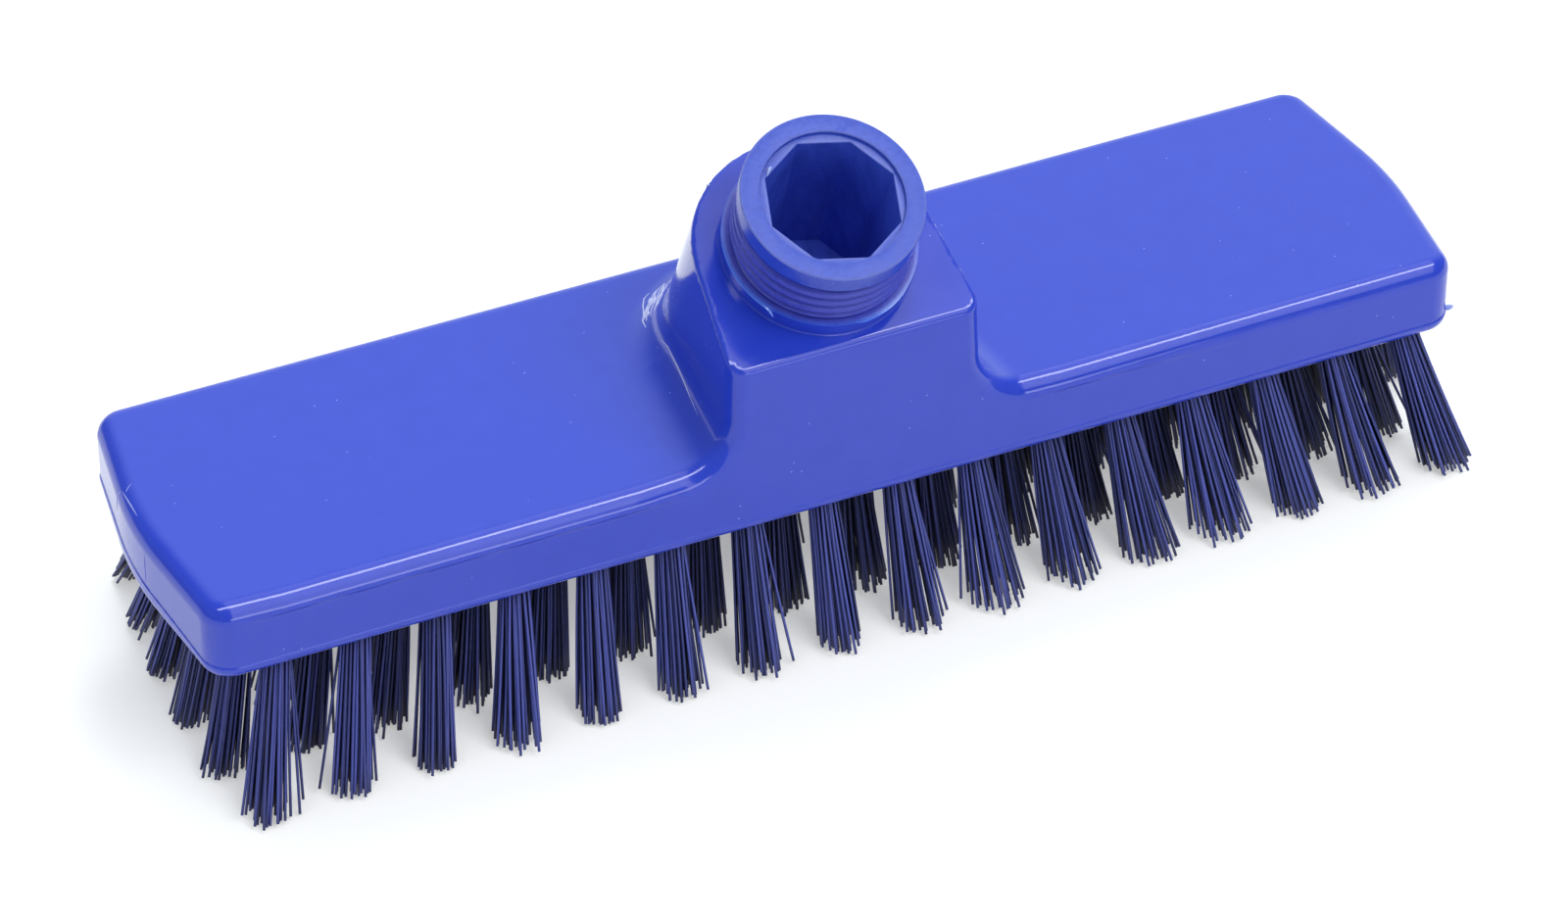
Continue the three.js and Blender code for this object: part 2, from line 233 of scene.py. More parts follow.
# Colours, with a pair where a pattern goes from the first to the second
GLOSS_BLUES = ((0.015, 0.039, 0.44), (0.021, 0.048, 0.49))
SATIN_BLUES = ((0.013, 0.040, 0.36), (0.033, 0.078, 0.46))
BORE_BLUES = ((0.012, 0.036, 0.34), (0.066, 0.128, 0.72))
THREAD_BLUE = (0.050, 0.044, 0.40)
FLASH_BLUE = (0.12, 0.28, 0.86)
# Pale of the creases and flash, partly a painted highlight, and the painted highlight on the socket's edges
PALE_AND_HIGHLIGHT_COLOUR = (0.62, 0.65, 0.88)
DUST_COLOUR = (0.55, 0.60, 0.90)
FILAMENT_BLUES = ((0.018, 0.024, 0.118), (0.070, 0.087, 0.375))
WORN_BLUE = (0.045, 0.056, 0.24)
# Painted shade deep among the filaments
PAINTED_SHADE_BLUE = (0.005, 0.006, 0.022)
WIRE_GREYS = ((0.50, 0.48, 0.44), (0.72, 0.70, 0.66))
FLOOR_COLOUR = (0.64, 0.64, 0.64, 1)
FLOOR_GLOW = 0.38

# Finishes, with a pair where a pattern goes from the first to the second
GLOSS_ROUGHNESS = (0.08, 0.16)
SATIN_ROUGHNESS = (0.24, 0.42)
FILAMENT_ROUGHNESS = (0.3, 0.5)
WIRE_ROUGHNESS = (0.25, 0.45)
FLOOR_ROUGHNESS = 0.9
GLOSS_TO_SATIN_SPECULAR = (0.5, 0.4)
FILAMENT_SPECULAR = 0.4
PLASTIC_IOR = 1.49

# Dust: grains to a metre, size as a share of their spacing, the share left out, and strength
DUST_SCALE = 320.0
DUST_SIZE = 0.034
DUST_LEFT_OUT = 0.4
DUST_STRENGTH = 0.5

# Painted shade among the filaments: how far it looks, in metres, its rays, and the gain on how open a place
# is
SHADE_REACH = 0.02
SHADE_RAYS = 8
OPEN_GAIN = 1.95

# Camera, in metres and pixels
CAMERA_AZIMUTH = math.radians(-24.26)
CAMERA_ELEVATION = math.radians(38.99)
CAMERA_ROLL = math.radians(-0.145)
CAMERA_DISTANCE = 0.90449
CAMERA_TARGET = Vector((-0.00130, 0.0, 0.01297))
CLIP_NEAR, CLIP_FAR = 0.05, 50
SENSOR_WIDTH = 36.0
IMAGE_WIDTH = 1600
FOCAL_PIXELS = 5453

# Softboxes that only fill: azimuth and elevation in degrees, width and height in metres, and radiance
LIGHT_DISTANCE = 3.0
FILLS = {
    "back_fill": (149, 53, 0.9, 0.85, 12),
    "front_fill": (27, 50, 2.4, 1.0, 6.2),
    "left_fill": (-80, 25, 1.5, 1.0, 2.6),
    "top_fill": (0, 90, 5.0, 5.0, 0.7),
}

# Panels that only show in the gloss: the same, and their roll in degrees
PANELS = {
    "front_strip": (8.9, 78.8, 4.0, 0.5, 11.5, -8.7),
    "front_wall_left": (13.6, 43.7, 0.75, 3.5, 2.0, -9.5),
    "front_wall_right": (35.8, 48.2, 0.72, 2.3, 2.0, -28.2),
    "front_low": (9, 10, 1.6, 0.6, 4.8, 0),
    "overhead_panel": (108, 72, 2.2, 1.8, 1.38, 0),
}

# Surroundings, with a soft glow behind the object, and the floor
GLOW_AZIMUTH = math.radians(153)
GLOW_ELEVATION = math.radians(31)
GLOW_EDGE = math.radians(52)
GLOW_CORE = math.radians(6)
DIM_STRENGTH = 0.3
GLOW_STRENGTH = 1.25
SURROUNDINGS_COLOUR = (0.92, 1.05, 1.08, 1)
FLOOR_REACH = 4000.0

# Levels that follow from the sizes above
FRONT_TO_AXIS = BLOCK_WIDTH / 2 + SOCKET_SETBACK
TILT_SIN, TILT_COS = math.sin(SOCKET_TILT), math.cos(SOCKET_TILT)
SHOULDER = FRONT_TO_AXIS * TILT_SIN + PEDESTAL_FRONT_RISE * TILT_COS
RIM = SHOULDER + SOCKET_HEIGHT

SEED = 7
rng = np.random.default_rng(SEED)


def to_frame(points):
    """Points of the block's frame, in the shared frame and in metres."""
    return np.asarray(points) * MM + BLOCK_ORIGIN


def from_socket(radius, angle, along):
    """Points round the socket axis, in the block's frame. Angle 0 is +X and a quarter turn is the back."""
    side = radius * np.cos(angle) - SOCKET_LEAN * (along - SHOULDER)
    behind = radius * np.sin(angle)
    y = SOCKET_SETBACK + behind * TILT_COS - along * TILT_SIN
    z = BLOCK_HEIGHT + behind * TILT_SIN + along * TILT_COS
    return np.stack(np.broadcast_arrays(side, y, z), axis=-1)


def to_socket(x, y, z):
    """Place behind the socket axis and along it, of points in the block's frame."""
    rise, back = z - BLOCK_HEIGHT, y - SOCKET_SETBACK
    return rise * TILT_SIN + back * TILT_COS, rise * TILT_COS - back * TILT_SIN


# Distance fields, negative inside
def round_corner(a, b, radius):
    """What two bodies share, with the outer edge between them rounded."""
    over = np.hypot(np.maximum(a + radius, 0), np.maximum(b + radius, 0))
    return np.minimum(np.maximum(a, b), -radius) + over


def round_hollow(a, b, radius):
    """Two bodies joined, with the inner corner between them rounded."""
    return -round_corner(-a, -b, radius)


def end_slope():
    """Slope of the straight stretches of an end, from its bow and the radius of its apex."""
    half, reach = BLOCK_WIDTH / 2, END_APEX_RADIUS - END_BOW
    return math.atan2(half, reach) - math.acos(END_APEX_RADIUS / math.hypot(half, reach))


def outline_distance(x, y):
    """Distance in plan to the block's outline, with its bowed ends and rounded corners."""
    slope = end_slope()
    out = np.abs(x) - (BLOCK_LENGTH / 2 - END_APEX_RADIUS)
    across = np.abs(y)
    straight = out * math.cos(slope) + across * math.sin(slope)
    in_apex = across * math.cos(slope) < out * math.sin(slope)
    end = np.where(in_apex, np.hypot(out, across), straight) - END_APEX_RADIUS
    return round_corner(end, across - BLOCK_WIDTH / 2, PLAN_CORNER_RADIUS)


def pedestal_distance(x, behind):
    """Distance to the pedestal's D-shaped section: an arch behind the axis and widening walls before it."""
    side = np.abs(x)
    cos, sin = math.cos(PEDESTAL_WIDENING), math.sin(PEDESTAL_WIDENING)
    wall = side * cos + behind * sin
    return np.where(behind * cos > side * sin, np.hypot(side, behind), wall) - PEDESTAL_ARCH_RADIUS


def edged_distance(x, y, top, wall):
    """Distance to what is under the top and within the wall, with a rounded edge and a fine brow in front."""
    reach = np.where(y < 0, BROW_REACH * np.interp(x, BROW_PLACES, BROW_SHARES), 0)
    radius = np.interp(x, RIGHT_EDGE_PLACES, (TOP_EDGE_RADIUS, RIGHT_EDGE_RADIUS))
    brow = round_corner(top, wall - reach, radius)
    return np.maximum(brow, round_hollow(wall, -top - BROW_DEPTH, BROW_HOLLOW))


def body_distance(x, y, z):
    """Distance to the slab and the pedestal, with every edge and the pedestal's foot rounded."""
    behind, along = to_socket(x, y, z)
    at_back = np.clip(behind / (np.hypot(x, behind) + 1e-9), 0, 1)
    foot = PEDESTAL_FOOT_RADIUS + (PEDESTAL_BACK_FOOT - PEDESTAL_FOOT_RADIUS) * at_back
    stepped = round_hollow(z - BLOCK_HEIGHT, pedestal_distance(x, behind), foot)
    over_parting = z - PARTING_HEIGHT - PARTING_ARCH * (1 - (2 * y / BLOCK_WIDTH) ** 2)
    draft = WALL_DRAFT * np.maximum(over_parting, 0)
    parting = PARTING_STEP * np.clip(over_parting / PARTING_RAMP + 0.5, 0, 1)
    edged = edged_distance(x, y, stepped, outline_distance(x, y) + draft + parting)
    capped = round_corner(edged, along - SHOULDER, SHOULDER_RADIUS)
    return round_corner(capped, -z, BOTTOM_EDGE_RADIUS)


def gradient(distance, points):
    """Direction in which a distance field grows, by central differences."""
    step = 0.01
    slopes = []
    for axis in np.eye(3) * step:
        slopes.append(distance(*(points + axis).T) - distance(*(points - axis).T))
    slopes = np.stack(slopes, axis=-1)
    return slopes / np.maximum(np.linalg.norm(slopes, axis=-1, keepdims=True), 1e-12)


def surface_net(distance, axes):
    """Points and quads over the zero set of a distance field on a grid with the given axes."""
    field = distance(*np.meshgrid(*axes, indexing="ij"))
    inside = field < 0
    shape = tuple(n - 1 for n in field.shape)
    total = np.zeros((3, math.prod(shape)))
    count = np.zeros(math.prod(shape))
    quads = []
    for axis in range(3):
        low = np.take(inside, range(field.shape[axis] - 1), axis)
        high = np.take(inside, range(1, field.shape[axis]), axis)
        place = np.argwhere(low != high)
        near = field[tuple(place.T)]
        beyond = place.copy()
        beyond[:, axis] += 1
        far = field[tuple(beyond.T)]
        crossing = place.astype(float)
        crossing[:, axis] += near / (near - far)
        second, third = (axis + 1) % 3, (axis + 2) % 3
        corners = []
        for step_second, step_third in ((0, 0), (1, 0), (1, 1), (0, 1)):
            cell = place.copy()
            cell[:, second] -= step_second
            cell[:, third] -= step_third
            flat = np.ravel_multi_index(cell.T, shape)
            count += np.bincount(flat, minlength=count.size)
            for k in range(3):
                total[k] += np.bincount(flat, crossing[:, k], count.size)
            corners.append(flat)
        quad = np.stack(corners, axis=-1)
        leaving = low[tuple(place.T)]
        quads.append(np.where(leaving[:, None], quad, quad[:, ::-1]))
    used = np.flatnonzero(count)
    number = np.full(count.size, -1)
    number[used] = np.arange(used.size)
    points = [np.interp(total[k, used] / count[used], np.arange(len(axes[k])), axes[k]) for k in range(3)]
    return np.stack(points, axis=-1), number[np.concatenate(quads)]


def settle(points, distance, rounds):
    """Points drawn onto the zero set of a distance field."""
    for _ in range(rounds):
        points = points - gradient(distance, points) * distance(*points.T)[:, None]
    return points


# Meshes
def new_object(name, points, faces):
    """Object of a mesh in the shared frame from points in the block's frame."""
    mesh = bpy.data.meshes.new(name)
    mesh.from_pydata(to_frame(points).tolist(), [], [list(map(int, face)) for face in faces])
    mesh.update()
    made = bpy.data.objects.new(name, mesh)
    bpy.context.scene.collection.objects.link(made)
    return made


def ring_faces(levels, count):
    """Quads between neighbouring rings of points and a face across each end."""
    faces = []
    for level in range(levels - 1):
        low = level * count
        for i in range(count):
            j = (i + 1) % count
            faces.append((low + i, low + j, low + count + j, low + count + i))
    last = (levels - 1) * count
    faces.append(tuple(reversed(range(count))))
    faces.append(tuple(range(last, last + count)))
    return faces


def turned_rings(rows, sides):
    """Rings round the socket axis from rows of radius and height. A radius may vary round its ring."""
    angles = np.arange(sides) * 2 * math.pi / sides
    return np.concatenate([from_socket(radius * np.ones(sides), angles, along) for radius, along in rows])


def tube_faces(levels, sides, copies):
    """Faces of as many like tubes as there are copies."""
    one = ring_faces(levels, sides)
    starts = [copy * levels * sides for copy in range(copies)]
    return [tuple(start + corner for corner in face) for start in starts for face in one]


def tubes(paths, radius, sides):
    """Rings of points round paths of equal length, without twist. The radius may change along them."""
    radii = np.broadcast_to(radius, paths.shape[1])
    tangents = np.gradient(paths, axis=1)
    tangents /= np.linalg.norm(tangents, axis=-1, keepdims=True)
    normal = np.cross(tangents[:, 0], [0.0, 1.0, 0.0])
    angles = np.arange(sides) * 2 * math.pi / sides
    rings = []
    for level in range(paths.shape[1]):
        tangent = tangents[:, level]
        normal = normal - tangent * np.sum(normal * tangent, axis=-1, keepdims=True)
        normal /= np.linalg.norm(normal, axis=-1, keepdims=True)
        binormal = np.cross(tangent, normal)
        spokes = np.cos(angles)[:, None] * normal[:, None] + np.sin(angles)[:, None] * binormal[:, None]
        rings.append(paths[:, level, None] + spokes * radii[level])
    return np.stack(rings, axis=1).reshape(-1, 3)


def grid_steps(start, *stretches):
    """Grid lines from a start over stretches that each have an end and a step of their own."""
    lines = []
    for end, step in stretches:
        lines.append(np.arange(start, end - step / 4, step))
        start = end
    return np.concatenate(lines)


def body_object():
    """Slab and pedestal as one smooth mesh, on a grid that is finest at the parting line and the brow."""
    end, side = BLOCK_LENGTH / 2, BLOCK_WIDTH / 2
    along = grid_steps(
        -end - GRID_LEAD,
        (END_ZONE - end, EDGE_STEP),
        (-PEDESTAL_ZONE, WING_STEP),
        (PEDESTAL_ZONE, PEDESTAL_STEP),
        (end - END_ZONE, WING_STEP),
        (end + GRID_TAIL, EDGE_STEP),
    )
    across = grid_steps(
        -side - GRID_LEAD,
        (SIDE_ZONE - side, EDGE_STEP),
        (side - SIDE_ZONE, MIDDLE_STEP),
        (side + GRID_TAIL, EDGE_STEP),
    )
    points, quads = surface_net(body_distance, (along, across, grid_steps(GRID_FLOOR, *GRID_RISE)))
    return new_object("block_body", settle(points, body_distance, SETTLE_ROUNDS), quads)


def thread_radius(along, angles):
    """Radius of the socket's thread round one ring: wide crests between narrow helical grooves."""
    turn = (along - SHOULDER - SOCKET_HEIGHT + COLLAR_LENGTH) / THREAD_PITCH - angles / (2 * math.pi)
    from_groove = np.abs(turn - np.round(turn)) * THREAD_PITCH
    depth = np.clip((THREAD_GROOVE / 2 + THREAD_FLANK - from_groove) / THREAD_FLANK, 0, 1)
    crown = THREAD_CROWN * (1 - 2 * from_groove / THREAD_PITCH) ** 2
    return THREAD_CREST_RADIUS - np.maximum(THREAD_DEPTH * depth, crown)


def flash_reach(angles):
    """Reach of the torn flash line round the neck: two wide stretches in front, and little elsewhere."""
    return FLASH_REACH * np.interp(np.degrees(angles) % 360, FLASH_TURNS, FLASH_SHARES)


def socket_object():
    """Turned socket: filleted neck with its flash line, thread relief, thread, collar and rounded rim."""
    angles = np.arange(SOCKET_SIDES) * 2 * math.pi / SOCKET_SIDES
    neck_top = SHOULDER + NECK_HEIGHT
    relief_top = neck_top + RELIEF_WIDTH
    collar_foot = RIM - COLLAR_LENGTH
    flash = flash_reach(angles)
    rows = [(NECK_RADIUS + NECK_FILLET, SHOULDER - SOCKET_SINK)]
    for turn in FILLET_TURNS:
        rows.append((
            NECK_RADIUS + NECK_FILLET * (1 - math.sin(turn)),
            SHOULDER + NECK_FILLET * (1 - math.cos(turn)),
        ))
    rows += [
        (NECK_RADIUS, neck_top - FLASH_THICKNESS),
        (NECK_RADIUS + flash, neck_top - FLASH_THICKNESS / 2),
        (NECK_RADIUS + flash, neck_top),
        (NECK_RADIUS - FLASH_REACH, neck_top),
        (RELIEF_RADIUS, neck_top),
        (RELIEF_RADIUS, relief_top),
    ]
    for along in np.arange(relief_top + ROW_STEP, collar_foot, ROW_STEP):
        rows.append((thread_radius(along, angles), along))
    rows += [
        (COLLAR_RADIUS - THREAD_DEPTH, collar_foot),
        (COLLAR_RADIUS, collar_foot + THREAD_FLANK),
    ]
    for turn in RIM_TURNS:
        rows.append((
            COLLAR_RADIUS - RIM_ROUND * (1 - math.cos(turn)),
            RIM - RIM_ROUND * (1 - math.sin(turn)),
        ))
    return new_object("socket", turned_rings(rows, SOCKET_SIDES), ring_faces(len(rows), SOCKET_SIDES))


def recess_cutter():
    """Shallow round recess in the rim, with its edge rounded over."""
    rows = [(RECESS_RADIUS, RIM - RECESS_DEPTH)]
    for turn in RECESS_TURNS:
        rows.append((
            RECESS_RADIUS + RECESS_ROUND * (1 - math.cos(turn)),
            RIM - RECESS_ROUND * (1 - math.sin(turn)),
        ))
    rows.append((RECESS_RADIUS + RECESS_ROUND, RIM + CUT_OVERRUN))
    return new_object("recess_cutter", turned_rings(rows, SOCKET_SIDES), ring_faces(len(rows), SOCKET_SIDES))


def bore_cutter():
    """Tapered octagon of the bore, chamfered at its mouth and set a little before the socket's axis."""
    mouth = RIM - RECESS_DEPTH
    rows = [
        (OCTAGON_FLOOR_RADIUS, RIM - BORE_DEPTH),
        (OCTAGON_MOUTH_RADIUS, mouth - 2 * OCTAGON_CHAMFER),
        (OCTAGON_MOUTH_RADIUS, mouth - OCTAGON_CHAMFER),
        (OCTAGON_MOUTH_RADIUS + OCTAGON_CHAMFER, mouth),
        (OCTAGON_MOUTH_RADIUS + OCTAGON_CHAMFER, mouth + RECESS_DEPTH / 2),
    ]
    angles = OCTAGON_TURN + np.arange(OCTAGON_SIDES) * 2 * math.pi / OCTAGON_SIDES
    points = np.concatenate([from_socket(radius, angles, along) for radius, along in rows])
    points -= BORE_SHIFT * np.array([0, TILT_COS, TILT_SIN])
    return new_object("bore_cutter", points, ring_faces(len(rows), OCTAGON_SIDES))


def tuft_line(column, row):
    """Root and tip of a tuft by its column and row."""
    across = 2 * row / (TUFT_ROWS - 1) - 1
    along = 2 * column / (TUFT_COLUMNS - 1) - 1
    shift = ROW_BOW * along * (1 - across * across)
    if row in STAGGERED_ROWS:
        shift = ROW_STAGGER + ROW_SQUEEZE * along
    root_x = BLOCK_LENGTH / 2 - END_BOW - ROOT_END_MARGIN
    root_y = BLOCK_WIDTH / 2 - ROOT_SIDE_MARGIN
    tip_x, tip_y = root_x + END_SPLAY, root_y + SIDE_SPLAY
    root = np.array([ROOT_SHIFT + shift + along * root_x, across * root_y, 0.0])
    tip = np.array([TIP_SHIFT + shift + along * tip_x, across * tip_y, -TRIM_LENGTH])
    return root, tip


def all_tufts():
    """Every tuft's column and row."""
    return [(column, row) for column in range(TUFT_COLUMNS) for row in range(TUFT_ROWS)]


def hole_cutter():
    """Blind holes of all the tufts, each along its own tuft."""
    angles = np.arange(HOLE_SIDES) * 2 * math.pi / HOLE_SIDES
    circle = np.stack([np.cos(angles), np.sin(angles), 0 * angles], axis=-1)
    profile = ((-CUT_OVERRUN, 1.0), (HOLE_DEPTH, HOLE_TAPER), (HOLE_DEPTH + HOLE_POINT, HOLE_POINT_SHARE))
    one = ring_faces(len(profile), HOLE_SIDES)
    points, faces = [], []
    for column, row in all_tufts():
        root, tip = tuft_line(column, row)
        inward = (root - tip) / TRIM_LENGTH
        start = len(points) * HOLE_SIDES
        for depth, share in profile:
            points.append(root + inward * depth + circle * HOLE_RADIUS * share)
        faces += [tuple(start + corner for corner in face) for face in one]
    return new_object("hole_cutter", np.concatenate(points), faces)


def boolean(target, other, operation):
    """Joins another body to a target or cuts it away, and removes that other body."""
    modifier = target.modifiers.new("boolean", "BOOLEAN")
    modifier.object = other
    modifier.operation = operation
    modifier.solver = "MANIFOLD"
    shaped = bpy.data.meshes.new_from_object(target.evaluated_get(bpy.context.evaluated_depsgraph_get()))
    target.modifiers.clear()
    target.data = shaped
    bpy.data.objects.remove(other)


def points_of(piece):
    """Points of a piece's mesh, in the block's frame."""
    points = np.empty(len(piece.data.vertices) * 3, np.float32)
    piece.data.vertices.foreach_get("co", points)
    return (points.reshape(-1, 3).astype(float) - BLOCK_ORIGIN) / MM


def keep_number(piece, name, values):
    """Keeps a number on every point of a piece, for its material to read."""
    kept = piece.data.attributes.get(name) or piece.data.attributes.new(name, "FLOAT", "POINT")
    kept.data.foreach_set("value", np.asarray(values, np.float32))


def join(target, other):
    """Makes another piece's mesh part of a target's mesh."""
    both = [target, other]
    with bpy.context.temp_override(active_object=target, object=target, selected_editable_objects=both):
        bpy.ops.object.join()


def smooth_normals(piece):
    """Smooth shading, with the exact normals of the slab and pedestal on every face that lies on them."""
    mesh = piece.data
    mesh.shade_smooth()
    mesh.set_sharp_from_angle(angle=SHARP_ANGLE)
    points = points_of(piece)
    on_body = np.abs(body_distance(*points.T)) < SURFACE_REACH
    normals = gradient(body_distance, points)
    corner_vertex = np.empty(len(mesh.loops), np.int32)
    mesh.loops.foreach_get("vertex_index", corner_vertex)
    counts = np.empty(len(mesh.polygons), np.int32)
    mesh.polygons.foreach_get("loop_total", counts)
    face_of_corner = np.repeat(np.arange(len(counts)), counts)
    hits = np.bincount(face_of_corner, on_body[corner_vertex])
    whole = (hits == counts)[face_of_corner]
    chosen = np.where(whole[:, None], normals[corner_vertex], 0.0)
    mesh.normals_split_custom_set(chosen.tolist())


def through(places):
    """Evenly spaced points of a path through a few places."""
    steps = np.linspace(0, len(places) - 1, RIDGE_STEPS)
    columns = [np.interp(steps, range(len(places)), column) for column in np.transpose(places)]
    return np.stack(columns, axis=-1)


def swelling(path, radius):
    """Tube along a path that swells from thin ends."""
    swell = np.sin(math.pi * np.linspace(*RIDGE_SPAN, RIDGE_STEPS)) ** RIDGE_SWELL
    return tubes(path[None], radius * swell, RIDGE_SIDES)


def ridge(places, radius, sink):
    """Ridge on the body through places near its surface, sunk by a share of its radius."""
    path = settle(through(places), body_distance, RIDGE_SETTLE_ROUNDS)
    return swelling(path - gradient(body_distance, path) * radius * sink, radius)


def round_pedestal(radius, angle, height):
    """Place round the pedestal, by its radius in plan and its angle from +X in degrees."""
    turn = math.radians(angle)
    return radius * math.cos(turn), radius * math.sin(turn), height


def wrinkle():
    """Crooked crease round the pedestal's left foot, where the plastic set too soon."""
    start, length = rng.uniform(*WRINKLE_START), rng.uniform(*WRINKLE_LENGTH)
    radius, drift = rng.uniform(*WRINKLE_RADIUS), rng.uniform(*WRINKLE_DRIFT)
    places = []
    for share in np.linspace(0, 1, WRINKLE_PLACES):
        at = radius + drift * share + rng.normal(0, WRINKLE_WANDER)
        places.append(round_pedestal(at, start + length * share, WRINKLE_HEIGHT))
    return ridge(places, rng.uniform(*WRINKLE_THICKNESS), sink=0.35)


def splay():
    """Flattened patch of set plastic among the wrinkles."""
    angle = rng.uniform(*SPLAY_ANGLE)
    radius = rng.uniform(*SPLAY_RADIUS)
    places = []
    for share in (0, 0.5, 1):
        places.append(round_pedestal(radius - share, angle + SPLAY_LENGTH * share, SPLAY_HEIGHT))
    return ridge(places, rng.uniform(*SPLAY_THICKNESS), sink=0.75)


def foot_crease():
    """Long thin crease in the hollow along the pedestal's left wall."""
    places = [(-21.0, 7, 16.4), (-21.2, 0, 18.4), (-21.9, -6, 18.3), (-22.8, -12, 17.8), (-24.2, -23, 17.0)]
    return ridge(places, radius=0.16, sink=0.6)


def end_flash():
    """Thin slivers of flash at the top of the left end wall."""
    top = (-113.6, 8.1, 13.3)
    return [
        ridge([top, (-114.2, 9.2, 7.8)], radius=0.14, sink=0.4),
        ridge([top, (-113.6, 4, 13.7), (-113.5, 0, 13.8)], radius=0.14, sink=0.4),
        ridge([(-113.3, 6.8, 13.7), (-111.7, 7.9, 14.2)], radius=0.12, sink=0.4),
    ]


def end_seam():
    """Faint seam down the left end wall."""
    return ridge([(-114.5, -5.8, 11.5), (-114.7, -5.3, 3.7)], radius=0.12, sink=0.4)


def shoulder_speck():
    """Grain of plastic stuck to the back edge of the shoulder."""
    return ridge([(-13.1, 2.4, 46.8), (-12.4, 2.0, 47.0)], radius=0.3, sink=0.3)


def corner_burr():
    """Burr that stands out of the parting line at the right front corner."""
    places = [(110.8, -26.2, 3.0), (111.8, -26.8, 3.0), (112.5, -27.3, 3.4)]
    return swelling(through(places), radius=0.5)


def octagon_chip():
    """Sliver of flash that stands on a corner of the octagon."""
    edge = RIM - RECESS_DEPTH
    places = [
        from_socket(11.0, math.radians(turn), edge + rise)
        for turn, rise in ((142, 0), (137, 0.6), (132, 0))
    ]
    return swelling(through(places), radius=0.3)


def flash_tag():
    """Loose end of the flash line round the neck."""
    level = SHOULDER + NECK_HEIGHT
    places = [
        from_socket(NECK_RADIUS + out, math.radians(turn), level + rise)
        for turn, out, rise in ((212, 0.3, 0), (218, 0.6, 0.1), (221, 0.9, -0.6))
    ]
    return swelling(through(places), radius=0.24)


def moulding_marks():
    """Creases, seams and flash that the mould left, with how pale each one is, partly as painted highlight,
    and how clear each one is.
    """
    marks = [(wrinkle(), 1.0, 0.0) for _ in range(WRINKLE_COUNT)]
    marks += [(splay(), 1.0, 0.0) for _ in range(SPLAY_COUNT)]
    marks += [(sliver, 0.5, 0.0) for sliver in end_flash()]
    marks += [
        (foot_crease(), 1.0, 0.0),
        (shoulder_speck(), 1.0, 0.0),
        (octagon_chip(), 0.8, 0.4),
        (corner_burr(), 0.8, 0.4),
        (end_seam(), 0.0, 0.0),
        (flash_tag(), 0.2, 0.8),
    ]
    points, pale_and_highlight, clear = zip(*marks)
    faces = tube_faces(RIDGE_STEPS, RIDGE_SIDES, len(marks))
    piece = new_object("moulding_marks", np.concatenate(points), faces)
    keep_number(piece, "pale_and_highlight", np.repeat(pale_and_highlight, RIDGE_STEPS * RIDGE_SIDES))
    keep_number(piece, "clear", np.repeat(clear, RIDGE_STEPS * RIDGE_SIDES))
    return piece


def raise_number(piece, name, values):
    """Raises a number that is kept on a piece's points to at least the given values."""
    kept = np.zeros(len(piece.data.vertices), np.float32)
    if name in piece.data.attributes:
        piece.data.attributes[name].data.foreach_get("value", kept)
    keep_number(piece, name, np.maximum(kept, values))


def mark_socket(block):
    """Notes which of the block's points are satin, in the thread or bore, on an edge that gets a painted
    highlight, or on flash.
    """
    loose, tight = 0.1, 0.01
    points = points_of(block)
    behind, along = to_socket(*points.T)
    above = along - SHOULDER
    side = points[:, 0] + SOCKET_LEAN * above
    radius, angle = np.hypot(side, behind), np.arctan2(behind, side)
    mouth = SOCKET_HEIGHT - RECESS_DEPTH
    on_socket = (radius < NECK_RADIUS + loose) & (above > NECK_HEIGHT - loose)
    inside = (radius < RECESS_RADIUS + loose) & (above > SOCKET_HEIGHT - BORE_DEPTH - 5 * loose)
    on_thread = on_socket & (radius > RELIEF_RADIUS - 3 * loose) & (above < SOCKET_HEIGHT - COLLAR_LENGTH)
    on_collar = (radius > COLLAR_RADIUS - loose) & (above > SOCKET_HEIGHT - COLLAR_LENGTH)
    on_rim_edge = (radius > COLLAR_RADIUS - RIM_ROUND + tight) & (above > SOCKET_HEIGHT - RIM_ROUND + tight)
    on_recess_edge = (radius > RECESS_RADIUS + tight) & (radius < RECESS_RADIUS + RECESS_ROUND - tight)
    on_recess_edge &= above > SOCKET_HEIGHT - RECESS_ROUND
    on_mouth_edge = (radius < RECESS_RADIUS - 2 * tight) & (np.abs(above - mouth) < 1.5 * OCTAGON_CHAMFER)
    on_flash = (radius > NECK_RADIUS + 4 * tight) & (np.abs(above - NECK_HEIGHT) < FLASH_THICKNESS)
    keep_number(block, "satin", np.where(on_collar, COLLAR_SATIN, on_socket | inside))
    keep_number(block, "thread", on_thread)
    keep_number(block, "bore", inside & (above < mouth - OCTAGON_CHAMFER / 2))
    # Painted highlight along the rim, recess and octagon mouth edges
    raise_number(block, "pale_and_highlight", EDGE_PAINTED_HIGHLIGHT * (on_rim_edge | on_recess_edge | on_mouth_edge))
    raise_number(block, "clear", on_flash * flash_reach(angle) / FLASH_REACH)


def brush_block():
    """Moulded block: slab, pedestal and socket in one body, with the bore and the tuft holes cut out."""
    block = body_object()
    boolean(block, socket_object(), "UNION")
    boolean(block, recess_cutter(), "DIFFERENCE")
    boolean(block, bore_cutter(), "DIFFERENCE")
    boolean(block, hole_cutter(), "DIFFERENCE")
    join(block, moulding_marks())
    block.name = "moulded_block"
    mark_socket(block)
    smooth_normals(block)
    return block


# Tufts
def sunflower(count):
    """Evenly spread places in a disc of radius 1."""
    index = np.arange(count)
    radius = np.sqrt((index + 0.5) / count)
    angle = index * math.pi * (3 - math.sqrt(5))
    return np.stack([radius * np.cos(angle), radius * np.sin(angle)], axis=-1)


def plan_points(places):
    """Places in plan, as points at height 0."""
    return np.pad(places, ((0, 0), (0, 1)))


